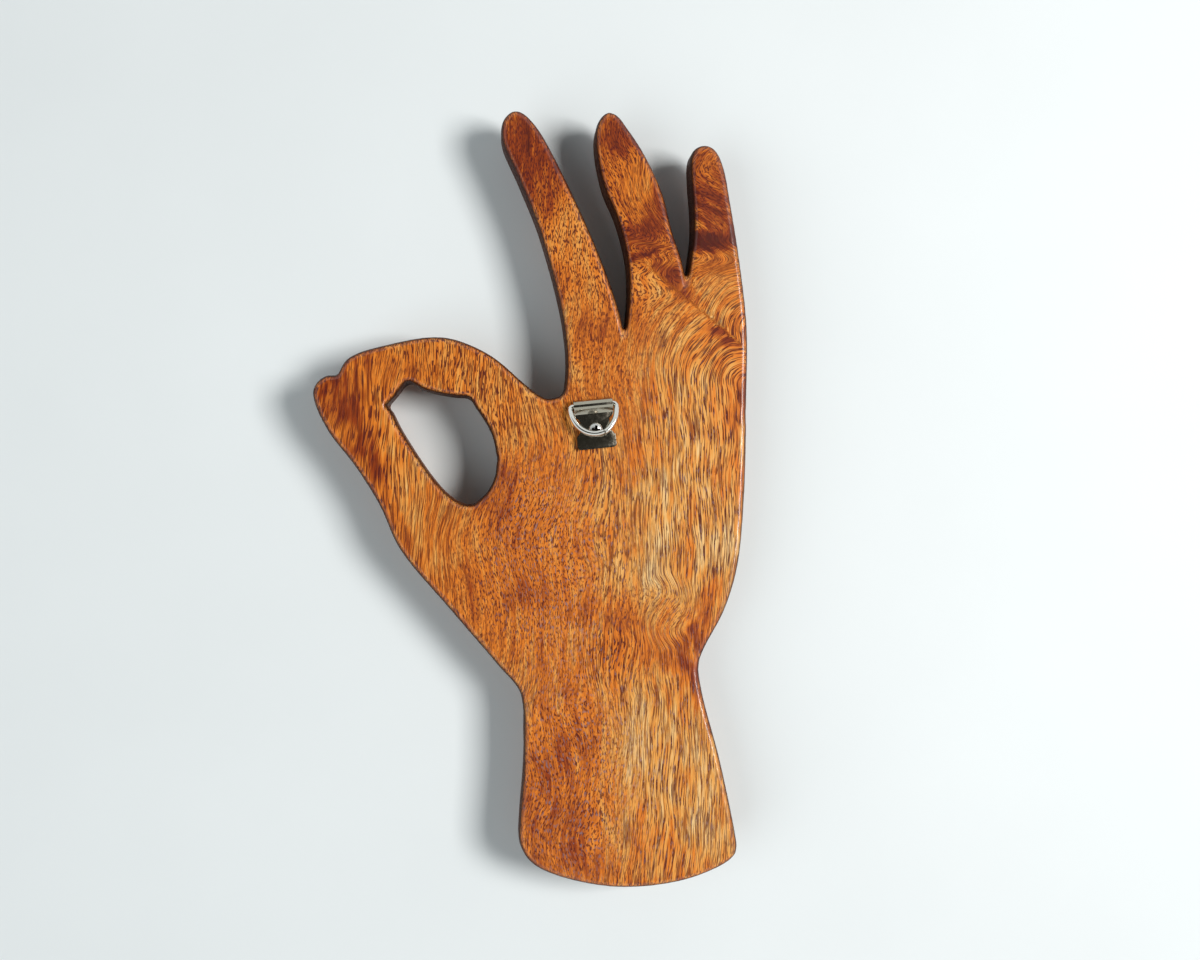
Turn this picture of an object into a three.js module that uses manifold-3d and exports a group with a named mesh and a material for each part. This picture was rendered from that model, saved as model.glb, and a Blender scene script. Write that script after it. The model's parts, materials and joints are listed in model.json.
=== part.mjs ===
import * as THREE from 'three';
import { mergeVertices } from 'three/addons/utils/BufferGeometryUtils.js';
import Module from 'manifold-3d';

// A carved wooden hand whose thumb and forefinger close in a ring.
// It is cut from one board, with a flat back and a carved front, and hangs from a D-ring hanger.
// Millimetres: X runs across the hand, +Y out of the flat back and +Z up to the fingertips.
// The origin lies on the back, under the middle of the straight bar of the hanger's ring.

// Carved hand
const HAND_HEIGHT = 260; // tip of the middle finger to the end of the wrist
const HAND_WIDTH = 145; // little finger's side to the tip of the thumb
const PATTERN_ROWS = 26; // squares of the pattern that the outlines are drawn on, up the hand
const PATTERN_COLUMNS = 14.5; // and across it
const SIDE_WALL = 12; // upright side, from the back to where the carved front begins
const FINGER_THICKNESS = 19; // back to the crest of a raised finger
const INDEX_THICKNESS = 19.5; // back to the crest of the bent forefinger
const THUMB_THICKNESS = 22; // back to the crest of the thumb, the thickest place on the board
const PALM_THICKNESS = 20.5; // back to the pads of the palm and the front of the wrist
const PALM_HOLLOW = 3.5; // depth of the cup in the middle of the palm
const HOLLOW_PLACE = 0.36; // share of the palm's outline, root to wrist, at which the cup is deepest
const HOLLOW_SPREAD = 0.17; // share of that outline over which the cup fades out, up and down
const EDGE_EASE = 1.2; // width of the eased edge round the back
const FACET_LENGTH = 3; // along an outline, from one section of a form to the next
const FINGERTIP_ROUND = 12; // length over which a finger's front rounds down to its tip
const THUMB_TIP_ROUND = 14; // the same for the thumb and the forefinger
const WRIST_END_ROUND = 12; // the same for the cut end of the wrist
const FINGER_ROOT = 40; // length over which a finger rises out of the palm
const FOREFINGER_ROOT = 45;
const THUMB_ROOT = 60; // length over which the ball of the thumb rises from the wrist
const PALM_PAD = 32; // length over which the palm rises behind the fingers

// Fits between pieces
const SEAT_GAP = 0.3; // between pieces that lie against or beside each other
const TURNING_GAP = 0.2; // all round the ring's bar, inside the fold of the strap

// D-ring, bent from round wire
const WIRE_DIAMETER = 1.8;
const RING_REACH = 10; // axis of the straight bar to the middle of the wire at the bow
const RING_JOINT = 0.3; // slit between the two ends of the wire
const RING_JOINT_SIDE = 2.6; // middle of the bow to that slit, along the wire
const BOW_FLAT = 0.55; // share of the half width over which the bow sets off level
const BOW_UPRIGHT = 0.55; // share of the reach at which the sides of the bow turn upright
const ROUND_CORNER = 0.55; // share of a corner's radius that makes its curve a quarter round

// Strap, one strip of sheet steel folded round the ring's bar
const HANGER_TILT = 6.1; // degrees that the hanger is screwed on out of true
const STRAP_THICKNESS = 0.8;
const LEAF_GAP = 0.1; // between the strap's two leaves
const STRAP_WIDTH = 13;
const STRAP_WAIST = 9.8;
const STRAP_LENGTH = 14.6; // axis of the bar to the end of the tail
const SHOULDER_LENGTH = 3; // axis of the bar to the start of the waist
const WAIST_TAPER = 2.4; // length over which the strap narrows to the waist
const TAIL_LENGTH = 4.2; // straight sides of the tail
const TAIL_FLARE = 1.9; // length over which the waist widens to the tail
const TAIL_CORNER = 1.3; // radius of the tail's end corners
const FOLD_SLOPE = 46; // degrees that the upper leaf drops from the fold to the lower leaf

// Wood screw
const SCREW_DROP = 8.35; // axis of the bar to the screw, down the strap
const SCREW_HEAD_DIAMETER = 4.6;
const SCREW_HEAD_HEIGHT = 1.5;
const SCREW_HEAD_RIM = 0.5; // upright rim under the dome of the head
const SCREW_SHANK_DIAMETER = 2.4;
const SCREW_LENGTH = 13; // under the head
const SCREW_POINT = 3; // length of the tapered point
const RECESS_SPAN = 2.5; // cross recess, end to end
const RECESS_WIDTH = 0.6;
const RECESS_DEPTH = 0.9;

// The outline of each form, in pattern squares: up one side from its root, round its tip and down
// the other side. Roots run on inside the neighbouring forms. The tip is the point at that index.
const LITTLE_FINGER = {
  tip: 6,
  points: [
    [-2.54, -0.15], [-3.21, 4.34], [-3.42, 5.95], [-3.32, 7.78], [-3.32, 8.34], [-3.46, 8.66],
    [-3.81, 8.80],
    [-4.09, 8.71], [-4.30, 8.44], [-4.50, 7.87], [-4.65, 7.03], [-4.96, 5.16], [-5.25, 2.59], [-5.22, -0.14],
  ],
};
const RING_FINGER = {
  tip: 7,
  points: [
    [-0.25, -0.83], [-1.11, 2.55], [-1.21, 4.58], [-0.82, 6.29], [-0.38, 7.33], [-0.10, 8.88], [-0.20, 9.51],
    [-0.52, 9.84],
    [-0.84, 9.75], [-1.16, 9.35], [-1.68, 8.59], [-2.34, 7.24], [-2.71, 5.84], [-3.20, 4.34], [-3.79, -0.15],
  ],
};
const MIDDLE_FINGER = {
  tip: 7,
  points: [
    [1.59, -1.50], [0.91, 0.59], [0.95, 2.53], [1.75, 5.74], [2.47, 7.54], [3.04, 8.92], [2.96, 9.54],
    [2.60, 9.84],
    [2.28, 9.74], [1.85, 9.29], [1.39, 8.53], [0.05, 5.74], [-0.65, 3.96], [-1.11, 2.52], [-2.10, -0.82],
  ],
};
const FOREFINGER = {
  tip: 12,
  points: [
    [2.25, -2.83], [3.12, -1.90], [3.30, -1.12], [3.48, -0.70], [4.11, 0.22], [4.19, 0.29], [4.51, 0.28],
    [5.66, 0.52], [6.10, 0.78], [6.82, 0.02], [7.64, -0.06], [8.18, 0.27],
    [8.44, 0.79],
    [8.20, 1.44], [7.82, 1.69], [6.97, 1.95], [5.46, 2.25], [4.65, 2.20], [3.38, 1.65], [2.25, 0.70],
    [1.80, 0.34], [1.48, 0.20], [1.14, 0.27], [0.70, 0.60], [0.00, 0.20], [-0.59, -1.16],
  ],
};
const THUMB = {
  tip: 9,
  points: [
    [2.29, -11.32], [2.39, -9.64], [3.12, -8.72], [4.74, -6.81], [6.41, -4.78], [7.04, -3.39], [7.85, -2.07],
    [8.73, -0.92], [9.19, 0.04],
    [9.24, 0.50],
    [8.96, 0.88], [8.47, 1.01], [7.69, 0.73], [6.82, 0.02], [6.37, -0.82], [5.40, -2.31], [4.82, -2.98],
    [4.48, -3.22], [4.16, -3.35], [3.70, -3.32], [2.92, -3.83], [1.25, -5.83], [0.59, -8.51], [1.35, -11.33],
  ],
};
const PALM_AND_WRIST = {
  tip: 13,
  points: [
    [-4.80, 3.20], [-5.20, 0.20], [-5.05, -4.52], [-4.84, -5.80], [-4.43, -7.00], [-3.84, -8.08],
    [-3.60, -8.68], [-3.71, -9.63], [-4.33, -11.99], [-4.88, -14.66], [-4.91, -15.00], [-4.72, -15.30],
    [-3.28, -15.94],
    [-0.97, -16.18],
    [1.20, -15.74], [2.09, -15.25], [2.45, -14.58], [2.45, -14.01], [2.29, -11.65], [2.39, -9.64],
    [3.41, -7.15], [4.05, -4.49], [4.05, -3.42], [3.80, -3.19], [3.47, -2.86], [3.23, -2.32], [3.18, -1.80],
    [2.94, -1.10], [2.00, -0.60],
  ],
};

// Heights above the back, in the order in which the hanger is stacked
const hangerTurn = THREE.MathUtils.degToRad(HANGER_TILT);
const lowerLeafTop = SEAT_GAP + STRAP_THICKNESS;
const foldInside = WIRE_DIAMETER / 2 + TURNING_GAP;
const foldOutside = foldInside + STRAP_THICKNESS;
const barHeight = lowerLeafTop + foldInside;
const upperLeafUnder = lowerLeafTop + LEAF_GAP;
const upperLeafTop = upperLeafUnder + STRAP_THICKNESS;
const headSeat = upperLeafTop + SEAT_GAP;

const wasm = await Module();
wasm.setup();

// A closed solid from a geometry: shared corners are merged and triangles with no area dropped.
function solidFrom(geometry) {
  const bare = new THREE.BufferGeometry();
  bare.setAttribute('position', geometry.getAttribute('position'));
  bare.setIndex(geometry.getIndex());
  const merged = mergeVertices(bare, 1e-4);
  const corners = merged.getIndex().array;
  const triangles = [];
  for (let i = 0; i < corners.length; i += 3) {
    const [a, b, c] = [corners[i], corners[i + 1], corners[i + 2]];
    if (a !== b && b !== c && c !== a) triangles.push(a, b, c);
  }
  return new wasm.Manifold(new wasm.Mesh({
    numProp: 3,
    vertProperties: new Float32Array(merged.getAttribute('position').array),
    triVerts: new Uint32Array(triangles),
  }));
}

function geometryFrom(solid) {
  const mesh = solid.getMesh();
  const geometry = new THREE.BufferGeometry();
  geometry.setAttribute('position', new THREE.BufferAttribute(mesh.vertProperties, mesh.numProp));
  geometry.setIndex(new THREE.BufferAttribute(mesh.triVerts, 1));
  geometry.computeVertexNormals();
  return geometry;
}

function named(name, geometry, material) {
  const mesh = new THREE.Mesh(geometry, material);
  mesh.name = name;
  return mesh;
}

// One form of the hand, lofted along its outline: a flat back with an eased edge, upright sides and
// a domed front. The dome sinks towards the root, where a neighbour covers it, and round the tip.
function carvedForm({ outline, thickness, fullness, tipReach, rootReach, rootRise, hollow }) {
  const column = HAND_WIDTH / PATTERN_COLUMNS;
  const row = HAND_HEIGHT / PATTERN_ROWS;
  const corners = outline.points.map(([x, z]) => new THREE.Vector3(x * column, 0, z * row));
  const edge = new THREE.CatmullRomCurve3(corners, false, 'centripetal');
  const samples = 40; // between one point of the outline and the next
  const lengths = edge.getLengths((corners.length - 1) * samples);
  const edgeLength = lengths.at(-1);
  const tipShare = lengths[outline.tip * samples] / edgeLength;
  const tip = edge.getPointAt(tipShare);
  const stations = Math.ceil(edgeLength / 2 / FACET_LENGTH);
  const crowding = 1.25; // stations stand closer together towards the tip
  const domeSteps = 12;
  const positions = [];
  const add = (x, y, z) => positions.push(x, y, z);
  const addEased = (at) => {
    const point = edge.getPointAt(at);
    const run = edge.getTangentAt(at);
    add(point.x - run.z * EDGE_EASE, 0, point.z + run.x * EDGE_EASE);
    return point;
  };
  for (let i = 0; i <= stations; i += 1) {
    const along = 1 - (1 - i / stations) ** crowding;
    const left = addEased(along * tipShare);
    const right = addEased(1 - along * (1 - tipShare));
    const middle = left.clone().lerp(right, 0.5);
    const toTip = Math.min(1, middle.distanceTo(tip) / tipReach);
    const fromRoot = Math.min(1, along * edgeLength * tipShare / rootReach);
    const rise = THREE.MathUtils.lerp(rootRise, 1, THREE.MathUtils.smoothstep(fromRoot, 0, 1));
    const crest = (thickness - SIDE_WALL) * rise * Math.sqrt(1 - (1 - toTip) ** 2);
    const cup = hollow * Math.exp(-(((along - HOLLOW_PLACE) / HOLLOW_SPREAD) ** 2));
    add(right.x, -EDGE_EASE, right.z);
    add(right.x, -SIDE_WALL, right.z);
    for (let j = 1; j < domeSteps; j += 1) {
      const across = Math.cos(Math.PI * j / domeSteps);
      const dome = Math.sqrt(1 - Math.abs(across) ** fullness);
      const depth = SIDE_WALL + crest * dome - cup * (1 - across ** 2) ** 2;
      const point = left.clone().lerp(right, (1 + across) / 2);
      add(point.x, -depth, point.z);
    }
    add(left.x, -SIDE_WALL, left.z);
    add(left.x, -EDGE_EASE, left.z);
  }
  const ring = positions.length / 3 / (stations + 1);
  const triangles = [];
  for (let i = 0; i < stations; i += 1) {
    for (let j = 0; j < ring; j += 1) {
      const a = i * ring + j;
      const b = i * ring + (j + 1) % ring;
      triangles.push(a, b, a + ring, b, b + ring, a + ring);
    }
  }
  for (let j = 1; j < ring - 1; j += 1) triangles.push(0, j + 1, j);
  const geometry = new THREE.BufferGeometry();
  geometry.setAttribute('position', new THREE.Float32BufferAttribute(positions, 3));
  geometry.setIndex(triangles);
  return solidFrom(geometry);
}

// The hand: every form of the carving joined, less the screw's hole in the back.
function carvedHand() {
  const finger = {
    thickness: FINGER_THICKNESS,
    fullness: 2,
    tipReach: FINGERTIP_ROUND,
    rootReach: FINGER_ROOT,
    rootRise: 0.85,
    hollow: 0,
  };
  const forms = [
    { ...finger, outline: LITTLE_FINGER },
    { ...finger, outline: RING_FINGER },
    { ...finger, outline: MIDDLE_FINGER },
    {
      ...finger,
      outline: FOREFINGER,
      thickness: INDEX_THICKNESS,
      tipReach: THUMB_TIP_ROUND,
      rootReach: FOREFINGER_ROOT,
      rootRise: 0.8,
    },
    {
      ...finger,
      outline: THUMB,
      thickness: THUMB_THICKNESS,
      fullness: 2.2,
      tipReach: THUMB_TIP_ROUND,
      rootReach: THUMB_ROOT,
      rootRise: 0.4,
    },
    {
      outline: PALM_AND_WRIST,
      thickness: PALM_THICKNESS,
      fullness: 4,
      tipReach: WRIST_END_ROUND,
      rootReach: PALM_PAD,
      rootRise: 0,
      hollow: PALM_HOLLOW,
    },
  ];
  const blank = forms.map(carvedForm).reduce((hand, form) => hand.add(form));
  const holeRadius = SCREW_SHANK_DIAMETER / 2 + SEAT_GAP;
  const holeEnd = headSeat - SCREW_LENGTH - SEAT_GAP;
  const hole = new THREE.CylinderGeometry(holeRadius, holeRadius, headSeat - holeEnd, 16);
  hole.translate(0, (headSeat + holeEnd) / 2, -SCREW_DROP);
  hole.rotateY(hangerTurn);
  return geometryFrom(blank.subtract(solidFrom(hole)));
}

// The strap: its folded profile drawn across the whole width, trimmed to the waisted plan and holed.
function hangerStrap() {
  const slope = THREE.MathUtils.degToRad(FOLD_SLOPE);
  const bend = (radius, level) => {
    const start = new THREE.Vector2(-radius * Math.sin(slope), barHeight + radius * Math.cos(slope));
    return new THREE.Vector2(start.x - (start.y - level) / Math.tan(slope), level);
  };
  const top = bend(foldOutside, upperLeafTop);
  const under = bend(foldInside, upperLeafUnder);
  const profile = new THREE.Shape();
  profile.moveTo(-STRAP_LENGTH, SEAT_GAP);
  profile.lineTo(0, SEAT_GAP);
  profile.absarc(0, barHeight, foldOutside, -Math.PI / 2, Math.PI / 2 + slope, false);
  profile.lineTo(top.x, top.y);
  profile.lineTo(-STRAP_LENGTH, upperLeafTop);
  profile.lineTo(-STRAP_LENGTH, upperLeafUnder);
  profile.lineTo(under.x, under.y);
  profile.absarc(0, barHeight, foldInside, Math.PI / 2 + slope, -Math.PI / 2, true);
  profile.lineTo(-STRAP_LENGTH, lowerLeafTop);
  profile.closePath();
  const across = { depth: STRAP_WIDTH, bevelEnabled: false, curveSegments: 14 };
  const folded = new THREE.ExtrudeGeometry(profile, across);
  folded.rotateY(-Math.PI / 2);
  folded.translate(STRAP_WIDTH / 2, 0, 0);

  const half = STRAP_WIDTH / 2;
  const waist = STRAP_WAIST / 2;
  const taperMiddle = -SHOULDER_LENGTH - WAIST_TAPER / 2;
  const tailTop = -STRAP_LENGTH + TAIL_LENGTH;
  const side = new THREE.Path();
  side.moveTo(half, 2 * foldOutside);
  side.lineTo(half, -SHOULDER_LENGTH);
  side.bezierCurveTo(half, taperMiddle, waist, taperMiddle, waist, -SHOULDER_LENGTH - WAIST_TAPER);
  side.lineTo(waist, tailTop + TAIL_FLARE);
  side.lineTo(half, tailTop);
  side.lineTo(half, -STRAP_LENGTH + TAIL_CORNER);
  side.quadraticCurveTo(half, -STRAP_LENGTH, half - TAIL_CORNER, -STRAP_LENGTH);
  const oneSide = side.getPoints(8);
  const otherSide = oneSide.map((point) => new THREE.Vector2(-point.x, point.y)).reverse();
  const plan = new THREE.Shape([...oneSide, ...otherSide]);
  const crown = barHeight + foldOutside;
  const trim = new THREE.ExtrudeGeometry(plan, { depth: 3 * crown, bevelEnabled: false });
  trim.rotateX(Math.PI / 2);
  trim.translate(0, 2 * crown, 0);

  const holeRadius = SCREW_SHANK_DIAMETER / 2 + SEAT_GAP;
  const hole = new THREE.CylinderGeometry(holeRadius, holeRadius, 4 * crown, 16);
  hole.translate(0, 0, -SCREW_DROP);
  return geometryFrom(solidFrom(folded).intersect(solidFrom(trim)).subtract(solidFrom(hole)));
}

// The ring's wire: a straight bar through the fold, two round corners and a bow, slit at one place.
class RingWire extends THREE.Curve {
  constructor() {
    super();
    const barEnd = STRAP_WIDTH / 2;
    const corner = SEAT_GAP + WIRE_DIAMETER / 2;
    const side = barEnd + corner;
    const at = (x, reach) => new THREE.Vector3(x, 0, -reach);
    const bow = (way) => [
      at(0, RING_REACH),
      at(way * side * BOW_FLAT, RING_REACH),
      at(way * side, corner + (RING_REACH - corner) * BOW_UPRIGHT),
      at(way * side, corner),
    ];
    const turn = (way) => [
      at(way * side, corner),
      at(way * side, corner * (1 - ROUND_CORNER)),
      at(way * (barEnd + corner * ROUND_CORNER), 0),
      at(way * barEnd, 0),
    ];
    this.loop = new THREE.CurvePath();
    this.loop.add(new THREE.CubicBezierCurve3(...bow(1)));
    this.loop.add(new THREE.CubicBezierCurve3(...turn(1)));
    this.loop.add(new THREE.LineCurve3(at(barEnd, 0), at(-barEnd, 0)));
    this.loop.add(new THREE.CubicBezierCurve3(...turn(-1).reverse()));
    this.loop.add(new THREE.CubicBezierCurve3(...bow(-1).reverse()));
    this.length = this.loop.getLength();
  }

  getPoint(share) {
    const from = -RING_JOINT_SIDE + RING_JOINT / 2;
    const run = from + share * (this.length - RING_JOINT);
    return this.loop.getPointAt(THREE.MathUtils.euclideanModulo(run, this.length) / this.length);
  }
}

function dRing() {
  const section = new THREE.Shape();
  section.absarc(0, 0, WIRE_DIAMETER / 2, 0, 2 * Math.PI, false);
  return new THREE.ExtrudeGeometry(section, { extrudePath: new RingWire(), steps: 72, curveSegments: 8 });
}

// The screw: a round head on a plain shank with a tapered point, turned about Y, with a cross recess.
function hangerScrew() {
  const shank = SCREW_SHANK_DIAMETER / 2;
  const head = SCREW_HEAD_DIAMETER / 2;
  const dome = SCREW_HEAD_HEIGHT - SCREW_HEAD_RIM;
  const profile = [
    new THREE.Vector2(0, -SCREW_LENGTH),
    new THREE.Vector2(shank, SCREW_POINT - SCREW_LENGTH),
    new THREE.Vector2(shank, 0),
    new THREE.Vector2(head, 0),
  ];
  const domeSteps = 6;
  for (let i = 0; i < domeSteps; i += 1) {
    const turn = (Math.PI / 2) * (i / domeSteps);
    profile.push(new THREE.Vector2(head * Math.cos(turn), SCREW_HEAD_RIM + dome * Math.sin(turn)));
  }
  profile.push(new THREE.Vector2(0, SCREW_HEAD_HEIGHT));
  const turned = solidFrom(new THREE.LatheGeometry(profile, 24));
  const slot = new THREE.BoxGeometry(RECESS_SPAN, 2 * RECESS_DEPTH, RECESS_WIDTH);
  slot.translate(0, SCREW_HEAD_HEIGHT, 0);
  const crossSlot = slot.clone().rotateY(Math.PI / 2);
  return geometryFrom(turned.subtract(solidFrom(slot).add(solidFrom(crossSlot))));
}

const wood = new THREE.MeshStandardMaterial({ color: 0xb4642a, roughness: 0.4, metalness: 0 });
const nickelPlate = new THREE.MeshStandardMaterial({ color: 0xb9b4a8, roughness: 0.22, metalness: 1 });

const hand = new THREE.Group();
hand.add(named('carved_hand', carvedHand(), wood));

const hanger = new THREE.Group();
hanger.rotation.y = hangerTurn;
hanger.add(named('hanger_strap', hangerStrap(), nickelPlate));

const screw = named('hanger_screw', hangerScrew(), nickelPlate);
screw.position.set(0, headSeat, -SCREW_DROP);
hanger.add(screw);

// The ring hangs down with its bow lifted clear of the screw's head.
const ring = named('d_ring', dRing(), nickelPlate);
const bowHeight = headSeat + SCREW_HEAD_HEIGHT + SEAT_GAP + WIRE_DIAMETER / 2;
ring.position.set(0, barHeight, 0);
ring.rotation.x = Math.asin((bowHeight - barHeight) / RING_REACH);
hanger.add(ring);
hand.add(hanger);

export default hand;
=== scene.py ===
import json
import math

import bmesh
import bpy
import numpy as np
from mathutils import Matrix, Vector


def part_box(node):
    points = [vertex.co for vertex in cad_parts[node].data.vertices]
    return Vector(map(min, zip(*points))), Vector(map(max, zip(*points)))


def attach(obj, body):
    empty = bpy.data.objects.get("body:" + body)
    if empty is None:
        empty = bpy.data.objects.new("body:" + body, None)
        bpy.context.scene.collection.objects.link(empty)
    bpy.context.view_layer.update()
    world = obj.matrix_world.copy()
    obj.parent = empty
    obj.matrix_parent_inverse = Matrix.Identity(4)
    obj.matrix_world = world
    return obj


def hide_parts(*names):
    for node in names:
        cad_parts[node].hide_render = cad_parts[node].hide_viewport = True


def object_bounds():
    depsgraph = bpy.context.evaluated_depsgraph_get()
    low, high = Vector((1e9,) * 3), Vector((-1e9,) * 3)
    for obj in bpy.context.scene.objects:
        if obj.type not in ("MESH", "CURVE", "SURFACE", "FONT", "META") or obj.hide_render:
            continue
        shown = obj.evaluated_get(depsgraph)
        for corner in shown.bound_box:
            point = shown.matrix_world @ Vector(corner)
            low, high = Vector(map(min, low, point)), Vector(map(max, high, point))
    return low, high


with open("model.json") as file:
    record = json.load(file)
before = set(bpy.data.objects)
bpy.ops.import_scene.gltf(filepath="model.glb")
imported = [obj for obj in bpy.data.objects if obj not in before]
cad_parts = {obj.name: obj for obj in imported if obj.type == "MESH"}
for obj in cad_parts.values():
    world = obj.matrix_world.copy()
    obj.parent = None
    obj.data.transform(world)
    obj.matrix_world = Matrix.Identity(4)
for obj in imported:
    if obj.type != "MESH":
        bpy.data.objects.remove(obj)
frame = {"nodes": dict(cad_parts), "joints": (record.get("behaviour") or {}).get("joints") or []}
cad_low, cad_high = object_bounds()

# Carved hand
# One board of reddish hardwood, sawn to the outline of a hand. The front is carved and sanded round,
# the back is left flat with its edges eased, and the whole is stained and varnished to a satin gloss.
MM = 0.001
WELD_GAP = 0.001 * MM
SKIN_STEP = 0.6 * MM
# the other sizes of the hand are in millimetres
CARVING_STARTS = 11  # depth below the back
CARVING_FULL = 15
EASED_DEPTH = 3  # depth to which the edge of the back is sanded round
FLAT_BACK = 0.02  # points no deeper than this belong to the flat back
SAND_PULL = 0.5  # share of the way to its neighbours' mean that one pass moves a point
GROOVE_POINTS = 33

board = bpy.data.meshes.new_from_object(frame["nodes"]["carved_hand"])
welded = bmesh.new()
welded.from_mesh(board)
bmesh.ops.remove_doubles(welded, verts=welded.verts, dist=WELD_GAP)
welded.to_mesh(board)
welded.free()
hand = bpy.data.objects.new("hand", board)
bpy.context.collection.objects.link(hand)
skin = hand.modifiers.new("fine_skin", "REMESH")
skin.mode = "VOXEL"
skin.voxel_size = SKIN_STEP


def keep_shape(piece):
    """Makes what the modifiers show of a piece its own mesh."""
    shown = piece.evaluated_get(bpy.context.evaluated_depsgraph_get())
    piece.data = bpy.data.meshes.new_from_object(shown)
    piece.modifiers.clear()


keep_shape(hand)
points = np.empty(len(hand.data.vertices) * 3)
hand.data.vertices.foreach_get("co", points)
points = points.reshape(-1, 3) / MM
edges = np.empty(len(hand.data.edges) * 2, int)
hand.data.edges.foreach_get("vertices", edges)
edges = edges.reshape(-1, 2)


def smooth_step(low, high, value):
    """Goes from 0 at low to 1 at high, level at both ends."""
    share = np.clip((value - low) / (high - low), 0, 1)
    return share * share * (3 - 2 * share)


def oval(across, along, half_width, half_height, end, full):
    """A soft oval patch: 1 within full and 0 beyond end, both as shares of its half sizes."""
    return smooth_step(end, full, np.hypot(across / half_width, along / half_height))


def sand(share, passes):
    """Moves points towards the mean of their neighbours, as sandpaper rounds a surface."""
    first, second = edges.T
    neighbours = np.bincount(edges.ravel(), minlength=len(points))
    for _ in range(passes):
        for axis in range(3):
            value = points[:, axis]
            total = np.bincount(first, value[second], len(points))
            total += np.bincount(second, value[first], len(points))
            points[:, axis] += SAND_PULL * share * (total / neighbours - value)


def cut_line(start, bend, end, depth, width):
    """Cuts a groove into the front with a small gouge, deepest in the middle and running out at its ends."""
    flat = points[:, ::2]
    share = np.linspace(0, 1, GROOVE_POINTS)[:, None]
    line = (1 - share) ** 2 * np.array(start) + 2 * share * (1 - share) * np.array(bend)
    line += share**2 * np.array(end)
    nearest = np.full(len(points), np.inf)
    reached = np.zeros(len(points))
    for i, (a, b) in enumerate(zip(line[:-1], line[1:])):
        along = np.clip((flat - a) @ (b - a) / ((b - a) @ (b - a)), 0, 1)
        gap = np.linalg.norm(flat - a - along[:, None] * (b - a), axis=1)
        closer = gap < nearest
        nearest[closer] = gap[closer]
        reached[closer] = (i + along[closer]) / (len(line) - 1)
    run_out = np.sqrt(np.sin(np.pi * np.clip(reached, 0, 1)).clip(0))
    points[:, 1] += carved * depth * run_out * np.exp(-((nearest / width) ** 2))


def raise_pad(x, z, half_width, half_height, height):
    """Leaves a soft mound standing on the front."""
    reach = ((points[:, 0] - x) / half_width) ** 2 + ((points[:, 2] - z) / half_height) ** 2
    points[:, 1] -= carved * height * np.exp(-reach)


# the whole skin is smoothed, and then the edge of the back is rounded while the back itself stays flat
sand(1, passes=4)
eased = smooth_step(EASED_DEPTH, EASED_DEPTH / 2, -points[:, 1]) * (points[:, 1] < -FLAT_BACK)
sand(eased, passes=6)

# the saw turned sharply in the corners of the hole, in the clefts between the fingers and in the notch
# at the tips: x, z, reach across and along the hand, shift across and along it
for x, z, reach_x, reach_z, shift_x, shift_z in (
    (61.5, 6.2, 1.4, 1.4, 0.1, 0.6),
    (68.3, -1.0, 1.4, 1.4, 0.55, 0.1),
    (41.5, 0.8, 1.4, 1.4, -0.4, 0.6),
    (-10.3, 26.0, 1.5, 4.5, -0.2, -2.2),
    (-31.2, 44.4, 1.5, 5.0, -0.2, -2.8),
    (86.0, 9.9, 1.3, 1.3, -0.6, -0.3),
):
    pull = np.exp(-(((points[:, 0] - x) / reach_x) ** 2) - ((points[:, 2] - z) / reach_z) ** 2)
    points[:, 0] += shift_x * pull
    points[:, 2] += shift_z * pull

# beside the outer corner of the hole the two eased edges run together and are kept narrow
NARROW_X = 70.2
NARROW_END = 2.4  # distance at which the edge has its full width again
NARROW_FULL = 1.0
SHALLOW_END = 0.7  # depth down to which the edge is taken back
SHALLOW_FULL = 0.3
NARROW_SHARE = 0.9
beside = smooth_step(NARROW_END, NARROW_FULL, np.hypot(points[:, 0] - NARROW_X, points[:, 2]))
shallow = smooth_step(SHALLOW_END, SHALLOW_FULL, -points[:, 1])
points[:, 1] *= 1 - NARROW_SHARE * beside * shallow

carved = smooth_step(CARVING_STARTS, CARVING_FULL, -points[:, 1])
sand(carved, passes=60)

# pads of the palm and the fingers: x, z, half width, half height, height
for pad in (
    (-36, -38, 17, 34, 1.6),
    (-32, 14, 11, 10, 1.0),
    (-12, 4, 10, 10, 1.0),
    (10, -9, 10, 10, 1.0),
    (30, -55, 17, 26, 1.4),
    (-42, 47, 5, 7, 0.5),
    (-39.5, 66, 4.5, 6, 0.5),
    (-19.5, 45, 6, 10, 0.6),
    (-14, 68, 6, 7, 0.6),
    (4, 36, 7, 12, 0.6),
    (14, 65, 6, 9, 0.6),
):
    raise_pad(*pad)

# creases of the finger joints and the lines of the palm: start, bend, end, depth, width
for crease in (
    ((-46.5, 57), (-40, 54.5), (-33.5, 57), 0.8, 0.9),
    ((-45, 74), (-39, 72), (-33.5, 74), 0.7, 0.8),
    ((-26, 58), (-17, 55), (-8, 57), 0.8, 0.9),
    ((-20, 79), (-11, 76), (-3, 77), 0.7, 0.8),
    ((-3, 54), (6, 50), (15, 50), 0.8, 0.9),
    ((9, 78), (17, 75), (25, 75), 0.7, 0.8),
    ((-50, 33), (-42, 29), (-31, 30), 0.8, 1.0),
    ((-31, 27), (-20, 22), (-9, 22), 0.8, 1.0),
    ((-10, 18), (0, 9), (11, 10), 0.8, 1.0),
    ((-51, -8), (-20, -14), (4, 6), 0.9, 1.1),
    ((-40, -34), (-6, -26), (26, -22), 0.8, 1.1),
    ((27, -24), (-14, -36), (4, -88), 1.0, 1.2),
    ((-37, -88), (-8, -93), (22, -92), 0.7, 1.0),
):
    cut_line(*crease)
sand(carved, passes=3)

hand.data.vertices.foreach_set("co", (points * MM).ravel())
hand.data.shade_smooth()
hand.data.update()

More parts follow.
